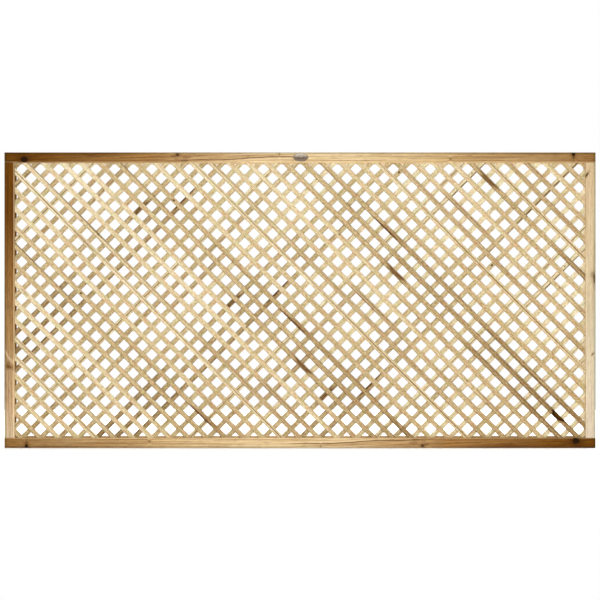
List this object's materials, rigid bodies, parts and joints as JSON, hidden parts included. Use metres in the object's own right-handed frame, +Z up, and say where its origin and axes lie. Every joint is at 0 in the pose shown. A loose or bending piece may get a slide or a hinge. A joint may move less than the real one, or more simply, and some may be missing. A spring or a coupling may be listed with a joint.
{
  "type": "trellis panel",
  "caption": "Rectangular wooden trellis panel: a rebated timber frame holding a diamond lattice of crossed slats for climbing plants.",
  "frame": {"origin": "middle of the bottom rail's underside: centred along the panel and across the frame's depth", "axes": "+X along the panel to its right seen from the front, +Y from the front to the back, +Z up"},
  "size_m": [1.8, 0.0377, 0.9],
  "materials": {
    "rail_timber": "matte",
    "brown_stile_timber": "matte",
    "pale_stile_timber": "matte",
    "front_slat_timber": "matte",
    "back_slat_timber": "matte",
    "screw_steel": "satin",
    "plate_metal": "satin"
  },
  "bodies": {
    "root": {"bottom_rail": "rail_timber", "top_rail": "rail_timber", "left_stile": "brown_stile_timber", "right_stile": "pale_stile_timber", "back_slats_01": "back_slat_timber", "back_slats_02": "back_slat_timber", "back_slats_03": "back_slat_timber", "back_slats_04": "back_slat_timber", "back_slats_05": "back_slat_timber", "back_slats_06": "back_slat_timber", "back_slats_07": "back_slat_timber", "back_slats_08": "back_slat_timber", "back_slats_09": "back_slat_timber", "back_slats_10": "back_slat_timber", "back_slats_11": "back_slat_timber", "back_slats_12": "back_slat_timber", "back_slats_13": "back_slat_timber", "back_slats_14": "back_slat_timber", "back_slats_15": "back_slat_timber", "back_slats_16": "back_slat_timber", "back_slats_17": "back_slat_timber", "back_slats_18": "back_slat_timber", "back_slats_19": "back_slat_timber", "back_slats_20": "back_slat_timber", "back_slats_21": "back_slat_timber", "back_slats_22": "back_slat_timber", "back_slats_23": "back_slat_timber", "front_slats_01": "front_slat_timber", "front_slats_02": "front_slat_timber", "front_slats_03": "front_slat_timber", "front_slats_04": "front_slat_timber", "front_slats_05": "front_slat_timber", "front_slats_06": "front_slat_timber", "front_slats_07": "front_slat_timber", "front_slats_08": "front_slat_timber", "front_slats_09": "front_slat_timber", "front_slats_10": "front_slat_timber", "front_slats_11": "front_slat_timber", "front_slats_12": "front_slat_timber", "front_slats_13": "front_slat_timber", "front_slats_14": "front_slat_timber", "front_slats_15": "front_slat_timber", "front_slats_16": "front_slat_timber", "front_slats_17": "front_slat_timber", "front_slats_18": "front_slat_timber", "front_slats_19": "front_slat_timber", "front_slats_20": "front_slat_timber", "front_slats_21": "front_slat_timber", "front_slats_22": "front_slat_timber", "front_slats_23": "front_slat_timber", "corner_screws": "screw_steel", "plate": "plate_metal", "plate_pins": "screw_steel"}
  },
  "joints": []
}
